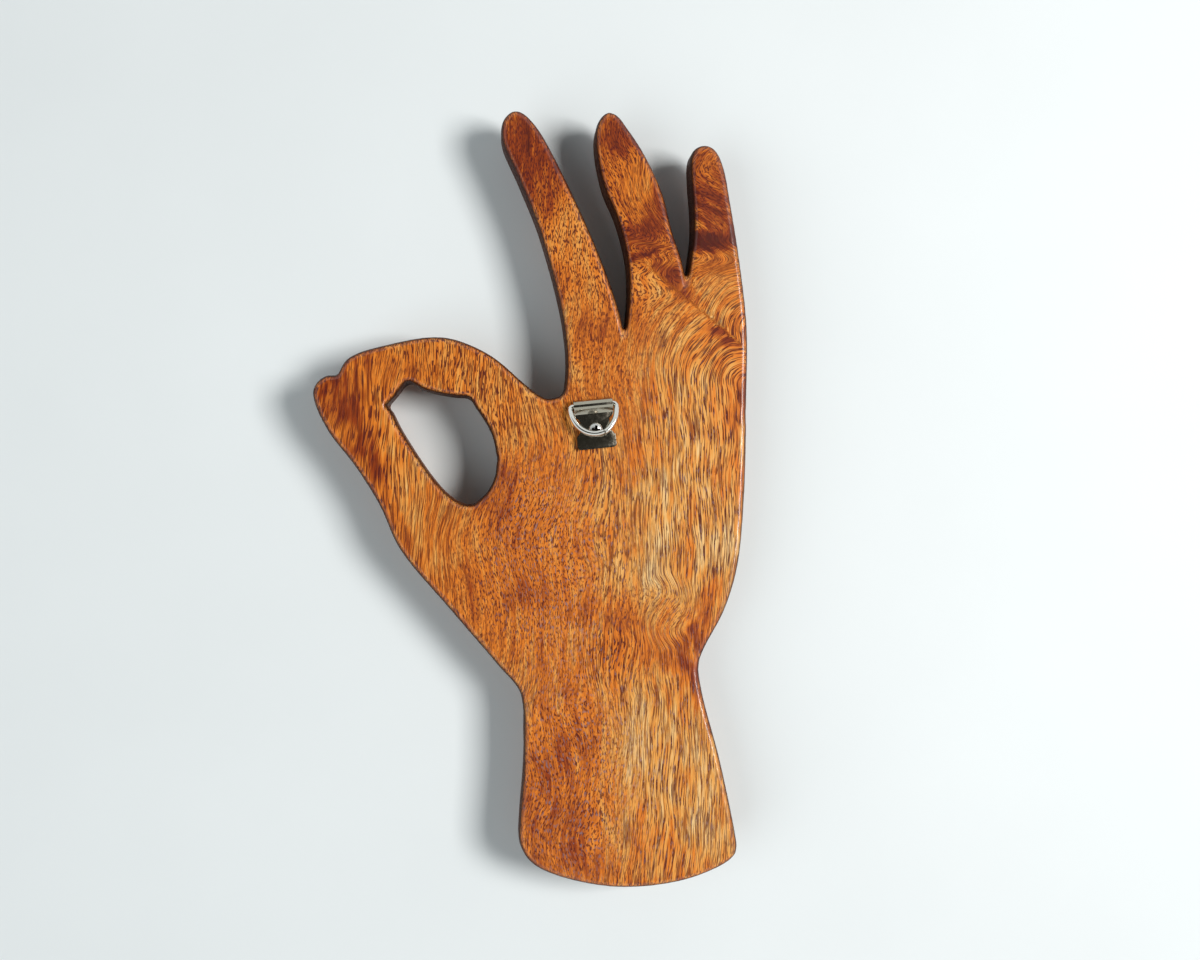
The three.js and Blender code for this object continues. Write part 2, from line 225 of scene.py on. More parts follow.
# The grain runs up the hand and leans aside in places, most across the little finger and the root of
# the ring finger: x, z, half width, half height, degrees it leans towards the little finger.
grain = points.copy()
for x, z, half_width, half_height, degrees in (
    (-39, 68, 22, 17, -64),
    (-13, 78, 13, 20, -24),
    (-17, 51.5, 9, 6, -60),
    (-24, 43, 9, 8, -24),
    (8, 25, 7, 10, 10),
    (20, -29, 22, 26, 11),
    (41, -66, 22, 26, -9),
    (15, -113, 13, 18, -12),
    (6, -155, 12, 14, -14),
    (-25, -69, 8, 9, 34),
    (-14, -86, 12, 9, 10),
):
    across, along = grain[:, 0] - x, grain[:, 2] - z
    turn = np.radians(degrees) * oval(across, along, half_width, half_height, end=1.5, full=0.4)
    grain[:, 0] = x + across * np.cos(turn) + along * np.sin(turn)
    grain[:, 2] = z + along * np.cos(turn) - across * np.sin(turn)

# below the little finger the grain arches over to the edge in two sets of arcs, which meet along a
# slanting seam: centre of the arcs, radius up to which they are full, radius at which they end, and
# the part of the hand that they take
SEAM_X = -34
SEAM_Z = 34
SEAM_SLOPE = 0.83
LITTLE_TOP = (56, 47)  # where the root of the little finger ends upwards, and where it is full
LITTLE_INSIDE = (-27, -33)  # the same towards the ring finger
above_seam = points[:, 2] > SEAM_Z + SEAM_SLOPE * (points[:, 0] - SEAM_X)
little_root = smooth_step(*LITTLE_TOP, points[:, 2]) * smooth_step(*LITTLE_INSIDE, points[:, 0])
for centre_x, centre_z, full, end, share in (
    (-53, 7, 26, 62, ~above_seam),
    (-58, 24, 32, 64, above_seam * little_root),
):
    across, along = points[:, 0] - centre_x, points[:, 2] - centre_z
    radius = np.hypot(across, along)
    arched = share * smooth_step(end, full, radius) * (along > 0)
    grain[:, 0] += arched * (centre_x + radius - points[:, 0])
    grain[:, 2] += arched * (centre_z + radius * np.arctan2(along, across) - points[:, 2])


def wander(phase):
    """A smooth wander from about -1 to 1 that is drawn out along the grain."""
    waves = ((2.1, 0.35), (1.27, -0.52), (0.71, 0.83), (3.3, -0.2))
    usual_height = 3  # the four waves seldom add up to more
    total = 0
    for i, (across, along) in enumerate(waves):
        total = total + np.sin(across * grain[:, 0] + along * grain[:, 2] + phase * (i + 1))
    return total / usual_height


# figure of this board, in patches with ragged edges, and painted light: the lighter patches on the lamp side
# of the palm and the wrist are partly a painted sheen of the side lamp, and a darker patch beside the hanger
# is a
# painted shadow of the ring: x, z, half width, half height, lean in degrees, and how much lighter it is
# painted
RAGGED_ACROSS = 1.0
RAGGED_ALONG = 1.3
ragged_x = points[:, 0] + RAGGED_ACROSS * wander(phase=0.7)
ragged_z = points[:, 2] + RAGGED_ALONG * wander(phase=2.9)
figure_and_painted_light = np.zeros(len(points))
for x, z, half_width, half_height, lean, lighter in (
    (21, 80, 12, 21, 21, -0.31),
    (16, 48, 5, 12, 15, -0.08),
    (23, 92, 7, 8, 0, -0.12),
    (10, 41, 3.5, 8, 10, -0.18),
    (0, 22, 9, 9, 0, -0.1),
    (7, 61, 6, 9, 15, 0.06),
    (-9, 92, 9, 9, 0, -0.3),
    (-4, 82, 4, 10, -15, -0.12),
    (-15, 70, 14, 26, 0, -0.08),
    (-21, 66, 5, 9, -12, -0.22),
    (-25, 47, 6, 5, 0, -0.12),
    (-18, 56, 11, 7, 0, -0.24),
    (-17, 50.5, 9, 1.1, 16, -0.3),
    (-15, 27, 6, 8, 0, -0.1),
    (-39, 76, 12, 14, 0, -0.24),
    (-42, 47, 9, 4, 0, -0.08),
    (-39, 71, 12, 1.6, -25, -0.16),
    (-39, 66, 12, 2.0, -25, -0.22),
    (-39.5, 62, 12, 2.0, -20, -0.28),
    (-40, 55.5, 12, 4, 0, -0.55),
    (-29, 40, 3.6, 12, 47, -0.24),
    (-44.5, 23.5, 3, 7, 50, -0.24),
    (-43, 27.5, 0.7, 10, 50, 0.25),
    (-49.5, 6, 3, 14, 0, -0.14),
    # lighter patches on the lamp side of the palm, partly the wood's own tone and partly a painted sheen of
    # the side lamp
    (-25, 17, 7, 17, 0, 0.1),
    (-20, -36, 11, 20, 0, 0.2),
    (-22, -9, 8, 12, 0, 0.1),
    (-35, 37, 8, 8, 0, 0.08),
    (-45, -50, 6, 12, 0, 0.1),
    (-14, -57, 9, 8, 0, 0.2),
    (-40, -46, 9, 22, -12, 0.16),
    (-31, -69, 5, 13, -18, 0.14),
    (-40, -63, 3, 9, -18, -0.14),
    (-35, -78, 2.4, 8, 18, -0.2),
    (-25, -86, 9, 4, -12, -0.14),
    (-35, -92, 2.0, 10, 4, -0.2),
    (-2, -70, 14, 5, -14, -0.14),
    (20, -64, 12, 5, 0, -0.08),
    (33, -28, 8, 14, 0, -0.17),
    (25, -60, 9, 10, 0, -0.06),
    (40, -60, 8, 9, 0, -0.1),
    (6, -118, 8, 11, 14, -0.15),
    (18, -130, 9, 12, 0, -0.15),
    (4, -143, 9, 16, 8, -0.16),
    (-25, -118, 17, 32, 4, 0.17),
    (-38, -135, 9, 24, 0, 0.2),
    (-22, -153, 9, 9, 0, 0.1),
    (-28, -112, 3.5, 12, 8, 0.12),
    (-32, -130, 3, 10, 0, -0.12),
    (20, -156, 7, 5, 0, -0.1),
    # a broad painted sheen where the side lamp falls down the lamp side of the palm
    (-36, -10, 10, 26, 0, 0.12),
    (-40, -12, 16, 62, 0, 0.04),
    (26, -50, 22, 34, 0, -0.06),
    (15, -125, 12, 38, 0, -0.06),
    (72, -6, 5, 16, 25, -0.04),
    (-21, -62, 4, 14, 0, 0.1),
    (9, -105, 1.2, 30, 14, 0.14),
    (-15, -14, 3, 14, 0, -0.08),
    (84, 1, 10, 9, 0, -0.2),
    (82, 12, 7, 6, 0, -0.16),
    (76, -10, 5, 13, 25, -0.24),
    (68, -32, 3.5, 18, 25, -0.14),
    (61, -34, 5, 26, 22, 0.12),
    (83, -12, 4, 7, 25, -0.12),
    (35, 5, 6, 8, 0, 0.06),
    (60, 12, 12, 5, 0, -0.08),
    (-25, -55, 4, 14, 0, 0.12),
    (-32, -19, 5, 14, 0, 0.08),
    (-2, -39, 6, 12, 0, 0.06),
    (-12, -113, 8, 18, 5, 0.09),
    (-44, -149, 5, 9, 0, 0.12),
    (-36, -82, 4, 7, 0, 0.12),
    (3, -100, 7, 14, 0, -0.07),
    (-2, -154, 8, 7, 0, -0.08),
    (21, -146, 7, 9, 0, -0.07),
    (12, -83, 9, 9, 0, -0.06),
    (41, -75, 6, 9, -20, -0.07),
    (48, -43, 8, 7, 0, -0.07),
    (68, -23, 4, 13, 25, -0.1),
    (58, -24, 3, 14, 28, 0.1),
    (75, 16, 8, 4, 0, -0.08),
    (16, 73, 5, 8, 15, 0.05),
    (-9, 81, 5, 6, 0, -0.06),
    (6, 46, 5, 6, 0, -0.05),
    (-30, -43, 4, 12, 0, 0.06),
    (-22, -9, 5, 8, 0, 0.06),
    (-25, -123, 4, 14, 0, 0.06),
    (-10, -145, 5, 9, 0, 0.06),
    (-32, -93, 5, 8, 0, -0.08),
    (13, -151, 8, 6, 0, -0.08),
    # a painted shadow of the ring beside the hanger
    (10, 4, 7, 6, 0, -0.06),
    (16, -16, 8, 6, 0, -0.05),
    (73, -4, 3, 7, 0, -0.06),
    (-37, -66, 3, 8, 0, -0.06),
    (-33, -83, 6, 9, 0, -0.1),
    (-45.5, 1, 3, 12, 0, -0.05),
):
    turn = math.radians(lean)
    across = (ragged_x - x) * math.cos(turn) - (ragged_z - z) * math.sin(turn)
    along = (ragged_z - z) * math.cos(turn) + (ragged_x - x) * math.sin(turn)
    figure_and_painted_light += lighter * oval(across, along, half_width, half_height, end=1.3, full=0.4)

# where the fibres rise out of the face the pores show as dots, where they lie along it the pores draw out
# to strokes and the colour is blotched, and elsewhere the pores are dashes; in some a painted glint of the
# light is put in as a pale grey colour: x, z, half width, half height, strength
PORE_PATCHES = {
    "dotted": (
        (-5, 75, 45, 55, 1),
        (22, -52, 24, 38, 0.9),
        (2, 6, 20, 16, 0.6),
        (8, -128, 19, 38, 0.9),
        (-20, -68, 16, 9, 0.6),
    ),
    "lined": (
        (-34, -18, 24, 62, 1),
        (-44, 20, 14, 18, 0.7),
        (-30, -125, 20, 46, 0.9),
        (62, -34, 16, 40, 0.7),
        (74, -8, 13, 26, 0.8),
    ),
    "glinting": (
        (14, -50, 22, 34, 0.8),
        (-28, -30, 22, 48, 0.5),
        (4, -120, 22, 46, 0.8),
        (-30, -120, 18, 44, 0.5),
    ),
}
hand.data.attributes.new("grain", "FLOAT_VECTOR", "POINT").data.foreach_set("vector", grain.ravel())
hand.data.attributes.new("figure_and_painted_light", "FLOAT", "POINT").data.foreach_set("value", figure_and_painted_light)
for name, patches in PORE_PATCHES.items():
    strength_here = np.zeros(len(points))
    for x, z, half_width, half_height, strength in patches:
        across, along = points[:, 0] - x, points[:, 2] - z
        strength_here += strength * oval(across, along, half_width, half_height, end=1.4, full=0.5)
    hand.data.attributes.new(name, "FLOAT", "POINT").data.foreach_set("value", strength_here.clip(0, 1))


class Finish:
    """A procedural finish: each call adds one node to the material and wires it."""

    def __init__(self, name):
        self.material = bpy.data.materials.new(name)
        self.material.use_nodes = True
        self.tree = self.material.node_tree
        self.shader = self.tree.nodes["Principled BSDF"]

    def put(self, socket, value):
        if isinstance(value, bpy.types.NodeSocket):
            self.tree.links.new(value, socket)
        else:
            socket.default_value = value

    def set(self, name, value):
        """Gives the surface one of its properties."""
        self.put(self.shader.inputs[name], value)

    def node(self, kind, inputs, **settings):
        node = self.tree.nodes.new("ShaderNode" + kind)
        for name, value in settings.items():
            setattr(node, name, value)
        for key, value in inputs.items():
            self.put(node.inputs[key], value)
        return node

    def math(self, operation, a, b=0.0):
        return self.node("Math", {0: a, 1: b}, operation=operation).outputs[0]

    def vector(self, operation, a, b):
        return self.node("VectorMath", {0: a, 1: b}, operation=operation).outputs[0]

    def noise(self, vector, size, detail=2.0, roughness=0.5):
        """A cloudy pattern from 0 to 1, of the given size along each axis."""
        scaled = self.vector("DIVIDE", vector, size)
        inputs = {"Vector": scaled, "Scale": 1.0, "Detail": detail, "Roughness": roughness}
        return self.node("TexNoise", inputs).outputs["Fac"]

    def between(self, value, low, high, start=0.0, end=1.0):
        """Goes from start to end while the value goes from low to high."""
        inputs = {"Value": value, "From Min": low, "From Max": high, "To Min": start, "To Max": end}
        return self.node("MapRange", inputs, interpolation_type="SMOOTHSTEP").outputs[0]

    def mix(self, share, first, second):
        return self.node("Mix", {0: share, 2: first, 3: second}, data_type="FLOAT").outputs[0]

    def blend(self, share, first, second):
        """Goes from the first colour to the second."""
        return self.node("Mix", {0: share, 6: first, 7: second}, data_type="RGBA").outputs[2]

    def ramp(self, value, stops):
        ramp = self.node("ValToRGB", {0: value})
        while len(ramp.color_ramp.elements) < len(stops):
            ramp.color_ramp.elements.new(0.5)
        for element, (position, colour) in zip(ramp.color_ramp.elements, stops):
            element.position = position
            element.color = colour
        return ramp.outputs[0]

    def emboss(self, relief, strength, depth):
        """Tilts the surface by a fine relief."""
        bump = self.node("Bump", {"Strength": strength, "Distance": depth, "Height": relief})
        self.set("Normal", bump.outputs[0])

    def cover(self, piece):
        piece.data.materials.clear()
        piece.data.materials.append(self.material)


def tone(red, green, blue):
    """A colour from its screen values, 0 to 255, as the linear colour that a shader takes."""
    values = [c / 255 for c in (red, green, blue)]
    return (*(c / 12.92 if c <= 0.04045 else ((c + 0.055) / 1.055) ** 2.4 for c in values), 1)


WOOD_COLOURS = (
    (0.0, tone(78, 28, 14)),
    (0.25, tone(144, 60, 20)),
    (0.5, tone(221, 124, 38)),
    (0.72, tone(229, 161, 79)),
    (1.0, tone(238, 202, 142)),
)
PLAIN_SHADE = 0.55  # where plain wood lies between the darkest and the palest of these
PORE_BROWN = tone(80, 22, 18)
PORE_GLINT = tone(140, 112, 116)
PORE_STRENGTH = 0.92
PORE_DEPTH = 0.08 * MM
LINE_BROWN = tone(100, 32, 10)
LINE_STRENGTH = 0.7
BLOTCH_LEVEL = 0.54
BLOTCH_STRENGTH = 0.6
# stain of the edge and the sides, darkened further as painted shade
EDGE_STAIN_AND_SHADE = tone(46, 24, 17)
STAIN_AND_SHADE_STRENGTH = 0.93

wood = Finish("stained_hardwood")
coordinates = wood.node("TexCoord", {}).outputs
wood_place = wood.vector("MULTIPLY", coordinates["Object"], (1 / MM, 1 / MM, 1 / MM))
board_height = wood.node("SeparateXYZ", {0: wood_place}).outputs[1]


def kept_at_points(name):
    """Reads what the hand's mesh keeps under this name at its points."""
    return wood.node("Attribute", {}, attribute_name=name).outputs


fibre = wood.node("SeparateXYZ", {0: kept_at_points("grain")["Vector"]}).outputs
dotted = kept_at_points("dotted")["Fac"]
lined = kept_at_points("lined")["Fac"]
glinting = kept_at_points("glinting")["Fac"]


def both_ways(pattern, amount):
    """Turns a pattern from 0 to 1 into a swing to both sides of zero."""
    return wood.math("MULTIPLY", wood.math("SUBTRACT", pattern, 0.5), amount)


# a slow and a quick sway move each point to the strip of wood that it belongs to
slow_sway = both_ways(wood.noise(wood_place, (40, 40, 70)), amount=16)
quick_sway = both_ways(wood.noise(wood_place, (7, 7, 16)), amount=1.1)
strip = wood.math("ADD", fibre[0], wood.math("ADD", slow_sway, quick_sway))
layer = wood.math("ADD", board_height, quick_sway)
lay = wood.node("CombineXYZ", {0: strip, 1: layer, 2: fibre[2]}).outputs[0]


def marks(size, none, full):
    """Marks of this size across, through and along the grain, where a pattern rises from none to full."""
    return wood.between(wood.noise(lay, size, 1), none, full)


# pores: dashes, strokes and dots in their own parts of the hand, and long fine lines all over
dashes = marks((0.36, 0.5, 3.0), none=0.535, full=0.565)
strokes = marks((0.35, 0.5, 6.5), none=0.54, full=0.585)
dots = marks((0.37, 0.5, 1.5), none=0.525, full=0.56)
pores = wood.mix(dotted, wood.mix(lined, dashes, strokes), dots)
lines = marks((0.5, 0.8, 15), none=0.52, full=0.61)
lines = wood.math("MULTIPLY", lines, wood.between(dotted, 0, 1, start=1, end=0.35))
# painted glints: some pores are coloured pale grey as if they caught the light
glints = wood.math("MULTIPLY", marks((0.8, 0.8, 1.6), none=0.51, full=0.62), glinting)

# colour runs in streaks along the grain, and darker and lighter patches lie across them
streaks = wood.noise(lay, (1.7, 1.7, 18), 2, 0.6)
fine_streaks = wood.noise(lay, (0.55, 0.8, 7), 1)
bands = wood.noise(lay, (6, 6, 80), 2)
clouds = wood.noise(wood_place, (13, 13, 17), 3, 0.6)
shade = both_ways(streaks, amount=0.6)
for pattern, amount in ((fine_streaks, 0.34), (bands, 0.35), (clouds, 0.4)):
    shade = wood.math("ADD", shade, both_ways(pattern, amount))
blotches = wood.math("SUBTRACT", wood.noise(lay, (3.2, 3.2, 11), 2), BLOTCH_LEVEL)
blotches = wood.math("MULTIPLY", blotches, lined)
shade = wood.math("ADD", shade, wood.math("MULTIPLY", blotches, BLOTCH_STRENGTH))
# adds the figure of the board, with its painted sheen of the side lamp and painted shadow of the ring
shade = wood.math("ADD", shade, kept_at_points("figure_and_painted_light")["Fac"])
colour = wood.ramp(wood.math("ADD", shade, PLAIN_SHADE), WOOD_COLOURS)
colour = wood.blend(wood.math("MULTIPLY", lines, LINE_STRENGTH), colour, LINE_BROWN)
# pores are brown, and pale grey where a glint of light is painted in them
pore_colour = wood.blend(glints, PORE_BROWN, PORE_GLINT)
colour = wood.blend(wood.math("MULTIPLY", pores, PORE_STRENGTH), colour, pore_colour)

# the eased edge and the sawn sides hold more stain, and the carved front does not; the darkening is also
# painted shade on the edge and the sawn sides: flatness is 1 on the back and 0 on the sides
normal = wood.node("SeparateXYZ", {0: coordinates["Normal"]}).outputs
flatness = wood.math("ABSOLUTE", normal[1])
uncarved = wood.between(board_height, -19, -13)
stain_and_shade = wood.math("MULTIPLY", wood.between(flatness, 0.92, 0.5), uncarved)
# edge stain together with painted shade on the edge and sides
colour = wood.blend(wood.math("MULTIPLY", stain_and_shade, STAIN_AND_SHADE_STRENGTH), colour, EDGE_STAIN_AND_SHADE)
wood.set("Base Color", colour)

# the varnish is satin, duller in the pores and on the sides, and glints where the back turns to its edge
wood.set("Roughness", wood.between(pores, 0, 1, start=0.4, end=0.6))
wood.set("Specular IOR Level", wood.between(flatness, 0.2, 0.7, start=0.04, end=0.14))
turning = wood.math("MULTIPLY", wood.between(flatness, 0.995, 0.965), wood.between(flatness, 0.7, 0.9))
turning = wood.math("MULTIPLY", turning, uncarved)
edge_gloss = wood.between(turning, 0, 1, start=0.12, end=0.9)
side_gloss = wood.between(flatness, 0.05, 0.4, start=0.1, end=1)
wood.set("Coat Weight", wood.math("MULTIPLY", edge_gloss, side_gloss))
wood.set("Coat Roughness", 0.2)
relief = wood.math("ADD", wood.math("MULTIPLY", pores, -1.0), wood.math("MULTIPLY", streaks, 0.3))
wood.emboss(relief, strength=0.6, depth=PORE_DEPTH)
wood.cover(hand)
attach(hand, "hand")
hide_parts("carved_hand")

# Hanger strap
# A strip of sheet steel, stamped with a waist and a wide tail, folded in two leaves round the bar of
# the ring and nickel plated. Tumbling has rounded its edges and handling has scratched it.
SHEET_WELD = 0.002 * MM
FLAT_ANGLE = math.radians(1)
EDGE_ROUND = 0.24 * MM
EDGE_STEPS = 3
EDGE_ANGLE = math.radians(40)
CREASE_ANGLE = math.radians(35)
NICKEL_DARK = tone(160, 152, 137)
NICKEL_PALE = tone(182, 174, 157)
SCRATCH_PALE = tone(226, 222, 214)

strap = bpy.data.objects.new("strap", bpy.data.meshes.new_from_object(frame["nodes"]["hanger_strap"]))
bpy.context.collection.objects.link(strap)
sheet = bmesh.new()
sheet.from_mesh(strap.data)
bmesh.ops.remove_doubles(sheet, verts=sheet.verts, dist=SHEET_WELD)
bmesh.ops.dissolve_limit(sheet, angle_limit=FLAT_ANGLE, verts=sheet.verts, edges=sheet.edges)
sheet.to_mesh(strap.data)
sheet.free()
rounded = strap.modifiers.new("tumbled_edges", "BEVEL")
rounded.width = EDGE_ROUND
rounded.segments = EDGE_STEPS
rounded.limit_method = "ANGLE"
rounded.angle_limit = EDGE_ANGLE
rounded.use_clamp_overlap = True
keep_shape(strap)
strap.data.shade_smooth()
strap.data.set_sharp_from_angle(angle=CREASE_ANGLE)

nickel = Finish("worn_nickel")
nickel_place = nickel.node("TexCoord", {}).outputs["Object"]
specks = nickel.noise(nickel_place, (0.3 * MM, 0.3 * MM, 0.3 * MM), 2, 0.6)
smears = nickel.noise(nickel_place, (1.1 * MM, 1.1 * MM, 1.6 * MM), 3, 0.6)
haze = nickel.noise(nickel_place, (4 * MM, 4 * MM, 4 * MM), 2)
scratches = nickel.between(specks, 0.64, 0.72)
plate = nickel.blend(haze, NICKEL_DARK, NICKEL_PALE)
nickel.set("Base Color", nickel.blend(nickel.math("MULTIPLY", scratches, 0.3), plate, SCRATCH_PALE))
nickel.set("Metallic", 1.0)
smeared = nickel.between(smears, 0.35, 0.75, start=0.1, end=0.17)
nickel.set("Roughness", nickel.math("ADD", smeared, nickel.math("MULTIPLY", scratches, 0.08)))
nickel.emboss(specks, strength=0.12, depth=0.01 * MM)
nickel.cover(strap)
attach(strap, "hand")
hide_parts("hanger_strap")

# D-ring
# Steel wire bent to a straight bar and a bow and nickel plated. Its ends butt together beside the
# lowest point of the bow, one standing a little proud. The bar turns in the fold of the strap. Sizes
# are in millimetres.
WIRE = 1.8
WIRE_SIDES = 28
WIRE_STATIONS = 260
BAR_HALF = 6.5
RING_REACH = 10
SEAT_GAP = 0.3
BOW_FLAT = 0.55  # share of the half width over which the bow sets off level
BOW_UPRIGHT = 0.55  # share of the reach at which the sides of the bow turn upright
ROUND_CORNER = 0.55  # share of a corner's radius that makes its curve a quarter round
JOINT_SIDE = 2.6
JOINT_SLIT = 0.3
PROUD = 0.28
PROUD_RUN = 2.2
WORN_END = 0.12
END_ANGLE = math.radians(50)
WIRE_DARK = tone(206, 201, 192)
WIRE_PALE = tone(236, 232, 225)

ring_joint = frame["joints"][0]
strap_tilt = math.atan2(-ring_joint["axis"][2], ring_joint["axis"][0])
screw_low, screw_high = (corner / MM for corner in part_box("hanger_screw"))
bar_height = ring_joint["pos_m"][1] / MM
rest_lift = math.asin((screw_high.y + SEAT_GAP + WIRE / 2 - bar_height) / RING_REACH)
ring_frame = (
    Matrix.Translation(Vector(ring_joint["pos_m"]) / MM)
    @ Matrix.Rotation(strap_tilt, 4, "Y")
    @ Matrix.Rotation(rest_lift, 4, "X")
)


def bezier(start, first, second, end, steps):
    """A curve from start to just before end, drawn by the two points between."""
    share = np.linspace(0, 1, steps, endpoint=False)[:, None]
    curve = (1 - share) ** 3 * np.array(start) + 3 * share * (1 - share) ** 2 * np.array(first)
    return curve + 3 * share**2 * (1 - share) * np.array(second) + share**3 * np.array(end)


bend = SEAT_GAP + WIRE / 2
ring_side = BAR_HALF + bend
upright = bend + (RING_REACH - bend) * BOW_UPRIGHT
half_bow = bezier(
    (0, -RING_REACH),
    (ring_side * BOW_FLAT, -RING_REACH),
    (ring_side, -upright),
    (ring_side, -bend),
    steps=160,
)
half_turn = bezier(
    (ring_side, -bend),
    (ring_side, -bend * (1 - ROUND_CORNER)),
    (BAR_HALF + bend * ROUND_CORNER, 0),
    (BAR_HALF, 0),
    steps=40,
)
half_bar = np.linspace((BAR_HALF, 0), (0, 0), num=60, endpoint=False)
half = np.vstack([half_bow, half_turn, half_bar])
loop = np.vstack([half, [[0, 0]], half[:0:-1] * (-1, 1)])
spans = np.linalg.norm(np.diff(np.vstack([loop, loop[:1]]), axis=0), axis=1)
run = np.concatenate([[0], np.cumsum(spans)])
stations = np.linspace(JOINT_SLIT / 2, run[-1] - JOINT_SLIT / 2, WIRE_STATIONS) - JOINT_SIDE
wire_line = np.column_stack(
    [np.interp(stations % run[-1], run, np.append(loop[:, axis], loop[0, axis])) for axis in (0, 1)]
)
proud = PROUD * np.exp(-(((stations[-1] - stations) / PROUD_RUN) ** 2))
ahead = np.gradient(wire_line, axis=0)
ahead /= np.linalg.norm(ahead, axis=1)[:, None]
aside = ahead[:, ::-1] * (1, -1)
wire_line += aside * proud[:, None]


def join_hoops(body, hoops):
    """Spans faces from each hoop of points to the next."""
    for hoop, following in zip(hoops[:-1], hoops[1:]):
        for k in range(len(hoop)):
            after = (k + 1) % len(hoop)
            body.faces.new((hoop[k], following[k], following[after], hoop[after]))


wire = bmesh.new()
wire_hoops = []
for at, out in zip(wire_line, aside):
    hoop = []
    for k in range(WIRE_SIDES):
        turn = 2 * math.pi * k / WIRE_SIDES
        rim = at + out * math.cos(turn) * WIRE / 2
        skin_point = ring_frame @ Vector((rim[0], math.sin(turn) * WIRE / 2, rim[1]))
        hoop.append(wire.verts.new(skin_point * MM))
    wire_hoops.append(hoop)
join_hoops(wire, wire_hoops)
caps = [wire.faces.new(wire_hoops[0]), wire.faces.new(wire_hoops[-1][::-1])]
rims = [edge for cap in caps for edge in cap.edges]
bmesh.ops.recalc_face_normals(wire, faces=wire.faces)
bmesh.ops.bevel(wire, geom=rims, offset=WORN_END * MM, segments=2, affect="EDGES")
ring = bpy.data.objects.new("ring", bpy.data.meshes.new("ring"))
wire.to_mesh(ring.data)
wire.free()
ring.data.shade_smooth()
ring.data.set_sharp_from_angle(angle=END_ANGLE)
bpy.context.collection.objects.link(ring)

bright = Finish("bright_nickel")
bright_place = bright.node("TexCoord", {}).outputs["Object"]
drawn = bright.noise(bright_place, (0.5 * MM, 0.5 * MM, 0.5 * MM), 3, 0.6)
bright.set("Base Color", bright.blend(drawn, WIRE_DARK, WIRE_PALE))
bright.set("Metallic", 1.0)
bright.set("Roughness", bright.between(drawn, 0.35, 0.7, start=0.05, end=0.14))
bright.emboss(drawn, strength=0.2, depth=0.01 * MM)
bright.cover(ring)
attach(ring, "ring")
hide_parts("d_ring")

# Hanger screw
# A steel wood screw, zinc plated, driven through both leaves of the strap into the back of the hand.
# Its domed head has a cross recess, coloured dark brown deep inside. Sizes are in millimetres.
HEAD_RADIUS = 2.3
HEAD_HEIGHT = 1.5
HEAD_RIM = 0.45
HEAD_CHAMFER = 0.1
DOME_STEPS = 45
TURNED_SIDES = 128
TURNED_WELD = 0.001
SHANK_RADIUS = 1.2
POINT_LENGTH = 3
RECESS_REACH = 1.45
RECESS_WIDTH = 0.75
RECESS_DEPTH = 1.0
RECESS_TURN = 0.1
RECESS_END = 0.12  # share of the reach over which the floor rises at its ends
RECESS_SLOPE = 0.06
RECESS_DARK_DEPTH = 0.35
ZINC_DARK = tone(176, 174, 170)
ZINC_PALE = tone(220, 218, 214)
RECESS_BROWN = tone(34, 31, 28)

screw_axis = (screw_low + screw_high) / 2
head_seat = screw_high.y - HEAD_HEIGHT
dome = HEAD_HEIGHT - HEAD_RIM
profile = [(0, screw_low.y), (SHANK_RADIUS, screw_low.y + POINT_LENGTH), (SHANK_RADIUS, head_seat)]
profile += [(HEAD_RADIUS - HEAD_CHAMFER, head_seat), (HEAD_RADIUS, head_seat + HEAD_CHAMFER)]
for turn in np.linspace(0, math.pi / 2, DOME_STEPS):
    profile.append((HEAD_RADIUS * math.cos(turn), head_seat + HEAD_RIM + dome * math.sin(turn)))
turned = bmesh.new()
turned_hoops = []
turns = [2 * math.pi * k / TURNED_SIDES for k in range(TURNED_SIDES)]
for radius, y in profile:
    hoop = [turned.verts.new((radius * math.cos(turn), y, -radius * math.sin(turn))) for turn in turns]
    turned_hoops.append(hoop)
join_hoops(turned, turned_hoops)
bmesh.ops.remove_doubles(turned, verts=turned.verts, dist=TURNED_WELD)
bmesh.ops.recalc_face_normals(turned, faces=turned.faces)
screw = bpy.data.objects.new("screw", bpy.data.meshes.new("screw"))
turned.to_mesh(screw.data)
turned.free()
bpy.context.collection.objects.link(screw)

# the recess is pressed into the dome by two crossed blades with a level floor
head = np.empty(len(screw.data.vertices) * 3)
screw.data.vertices.foreach_get("co", head)
head = head.reshape(-1, 3)
for quarter in (RECESS_TURN, RECESS_TURN + math.pi / 2):
    along = np.abs(head[:, 0] * math.cos(quarter) + head[:, 2] * math.sin(quarter))
    across = np.abs(head[:, 2] * math.cos(quarter) - head[:, 0] * math.sin(quarter))
    pressed = smooth_step(RECESS_WIDTH / 2 + RECESS_SLOPE, RECESS_WIDTH / 2 - RECESS_SLOPE, across)
    pressed *= np.clip((RECESS_REACH - along) / (RECESS_END * RECESS_REACH), 0, 1)
    in_dome = (pressed > 0) & (head[:, 1] > head_seat + HEAD_RIM)
    floor = screw_high.y - RECESS_DEPTH * pressed
    head[:, 1] = np.where(in_dome, np.minimum(head[:, 1], floor), head[:, 1])
# deep in the recess the head is coloured dark brown
deep_in_recess = np.hypot(head[:, 0], head[:, 2]) < RECESS_REACH
deep_in_recess &= head[:, 1] < screw_high.y - RECESS_DARK_DEPTH
deep_in_recess &= head[:, 1] > head_seat + HEAD_CHAMFER
head += (screw_axis.x, 0, screw_axis.z)
screw.data.vertices.foreach_set("co", (head * MM).ravel())
screw.data.attributes.new("recess_darkening", "FLOAT", "POINT").data.foreach_set("value", deep_in_recess.astype(float))
screw.data.update()
screw.data.shade_smooth()
screw.data.set_sharp_from_angle(angle=CREASE_ANGLE)

zinc = Finish("dull_zinc")
zinc_place = zinc.node("TexCoord", {}).outputs["Object"]
bloom = zinc.noise(zinc_place, (0.7 * MM, 0.7 * MM, 0.7 * MM), 3, 0.6)
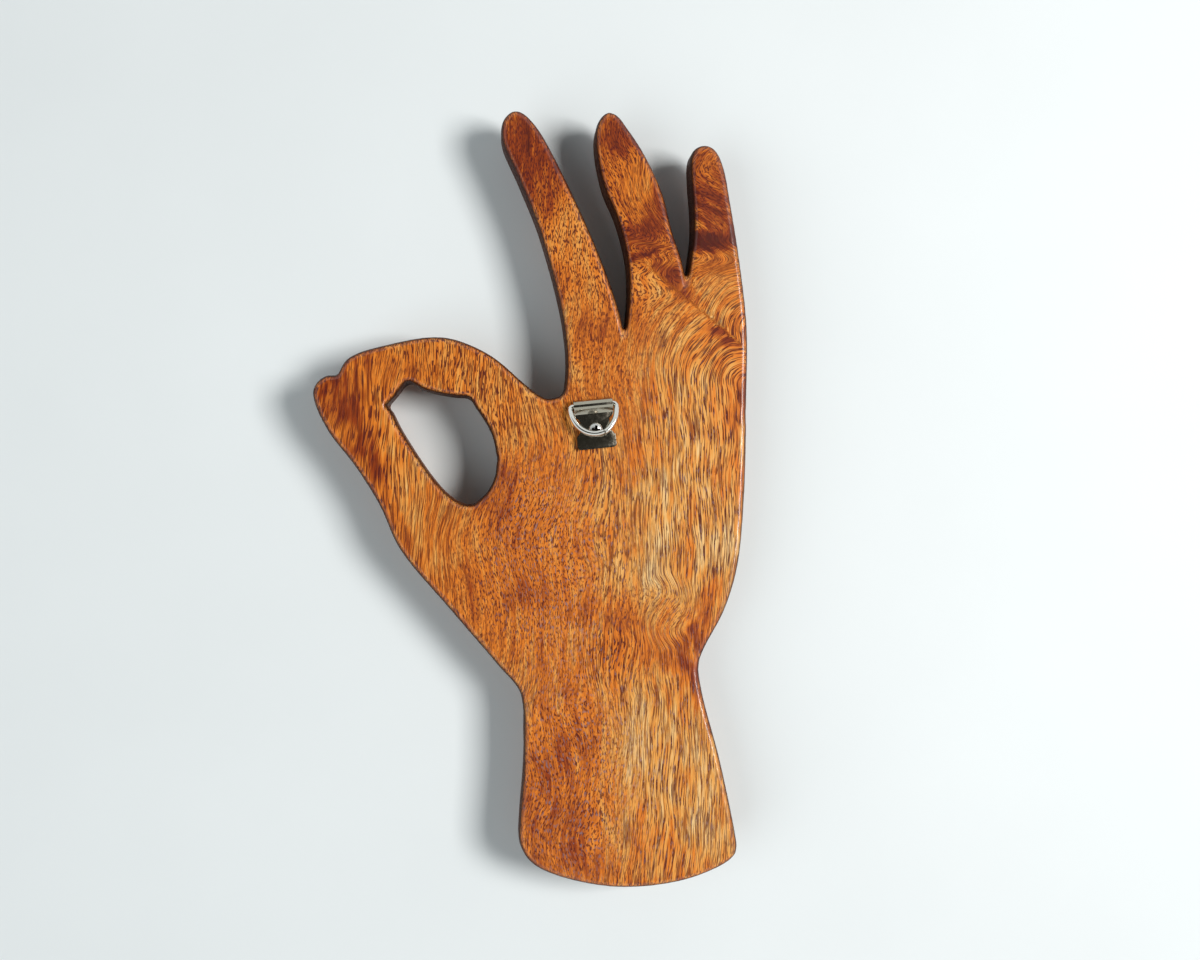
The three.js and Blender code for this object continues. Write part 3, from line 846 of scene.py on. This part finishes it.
# the head turns dark brown deep in the recess
recess_darkening = zinc.node("Attribute", {}, attribute_name="recess_darkening").outputs["Fac"]
zinc.set("Base Color", zinc.blend(recess_darkening, zinc.blend(bloom, ZINC_DARK, ZINC_PALE), RECESS_BROWN))
zinc.set("Metallic", 1.0)
zinc.set("Roughness", zinc.between(bloom, 0.3, 0.7, start=0.24, end=0.42))
zinc.emboss(bloom, strength=0.3, depth=0.02 * MM)
zinc.cover(screw)
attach(screw, "hand")
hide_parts("hanger_screw")

# Table, lamps and camera
# The hand lies face down on a pale painted board and is seen from above, between a softbox on one side
# and a large reflector on the other. The board shows only from above, so that the carved front can be
# seen from below. Sizes and places are in metres.
TABLE_GAP = 0.3 * MM
TABLE_HALF = 3.0
MOTTLE = 0.08
TABLE_DARK = tone(224, 229, 230)
TABLE_PALE = tone(231, 236, 237)
CARD_HEIGHT = 0.62
CARD_HALF_WIDTH = 0.54
CARD_HALF_DEPTH = 0.28
CARD_BLACK = tone(12, 12, 12)
CARD_GLOW = tone(48, 48, 45)
ROOM_COLOUR = (0.9, 0.97, 0.99, 1)
ROOM_SEEN = 0.95
ROOM_LIGHT = 0.17
CAMERA_PLACE = (0.031, 0.45, -0.025)
CAMERA_AIM = (-0.0025, 0, -0.025)
SENSOR_WIDTH = 36
LENS = 40.5


def level_board(name, half_width, half_depth, height):
    """A level rectangle that faces up."""
    ends = ((-1, -1), (-1, 1), (1, 1), (1, -1))
    mesh = bpy.data.meshes.new(name)
    mesh.from_pydata([(x * half_width, height, z * half_depth) for x, z in ends], [], [(0, 1, 2, 3)])
    piece = bpy.data.objects.new(name, mesh)
    bpy.context.collection.objects.link(piece)
    return piece


table = level_board("table", TABLE_HALF, TABLE_HALF, points[:, 1].min() * MM - TABLE_GAP)
table.visible_shadow = False
pale = Finish("pale_board")
pale_place = pale.node("TexCoord", {}).outputs["Object"]
mottle = pale.noise(pale_place, (MOTTLE, MOTTLE, MOTTLE), 4)
pale.set("Base Color", pale.blend(mottle, TABLE_DARK, TABLE_PALE))
pale.set("Roughness", 0.6)
pale.set("Specular IOR Level", 0.2)
from_below = pale.node("NewGeometry", {}).outputs["Backfacing"]
clear = pale.node("BsdfTransparent", {}).outputs[0]
one_sided = pale.node("MixShader", {0: from_below, 1: pale.shader.outputs[0], 2: clear})
pale.put(pale.tree.nodes["Material Output"].inputs["Surface"], one_sided.outputs[0])
pale.cover(table)

# a dark card over the table, which only mirrors show
card = level_board("mirrored_card", CARD_HALF_WIDTH, CARD_HALF_DEPTH, CARD_HEIGHT)
for ray in ("camera", "diffuse", "transmission", "volume_scatter", "shadow"):
    setattr(card, "visible_" + ray, False)
dim = Finish("dim_card")
dim.set("Base Color", CARD_BLACK)
dim.set("Roughness", 0.9)
dim.set("Emission Color", CARD_GLOW)
dim.set("Emission Strength", 1.0)
dim.cover(card)


def turn_to(piece, aim):
    """Turns a lamp or the camera to look at a point."""
    piece.rotation_euler = (Vector(aim) - piece.location).to_track_quat("-Z", "Y").to_euler()


def softbox(name, place, size, power, colour):
    """A square lamp that looks at the middle of the hand."""
    lamp = bpy.data.lights.new(name, "AREA")
    lamp.size = size
    lamp.energy = power
    lamp.color = colour
    stand = bpy.data.objects.new(name, lamp)
    stand.location = place
    turn_to(stand, (cad_low + cad_high) / 2)
    bpy.context.collection.objects.link(stand)
    return stand


softbox("side_softbox", place=(-0.78, 1.08, 0.05), size=0.48, power=16.9, colour=(1.0, 0.985, 0.965))
reflector = softbox("reflector", place=(1.2, 1.25, -0.5), size=1.6, power=12.8, colour=(0.93, 0.98, 1.0))
reflector.visible_glossy = False
# the lamp below the table lights the carved front alone, and none of it comes back to the table
front_softbox = softbox("front_softbox", place=(-1.0, -1.1, 0.8), size=0.8, power=60, colour=(1, 1, 1))
front_softbox.data.cycles.max_bounces = 0
front_softbox.visible_glossy = False

# the room is bright to look at and in mirrors, and lights the table and the hand only faintly
world = bpy.data.worlds.new("pale_room")
bpy.context.scene.world = world
world.use_nodes = True
room = world.node_tree
light_path = room.nodes.new("ShaderNodeLightPath")
level = room.nodes.new("ShaderNodeMapRange")
level.inputs["To Min"].default_value = ROOM_SEEN
level.inputs["To Max"].default_value = ROOM_LIGHT
room.links.new(light_path.outputs["Is Diffuse Ray"], level.inputs["Value"])
backdrop = room.nodes["Background"]
backdrop.inputs["Color"].default_value = ROOM_COLOUR
room.links.new(level.outputs[0], backdrop.inputs["Strength"])

camera = bpy.data.objects.new("camera", bpy.data.cameras.new("camera"))
camera.data.sensor_width = SENSOR_WIDTH
camera.data.lens = LENS
camera.location = CAMERA_PLACE
turn_to(camera, CAMERA_AIM)
bpy.context.collection.objects.link(camera)
bpy.context.scene.camera = camera
bpy.context.scene.view_settings.view_transform = "Standard"
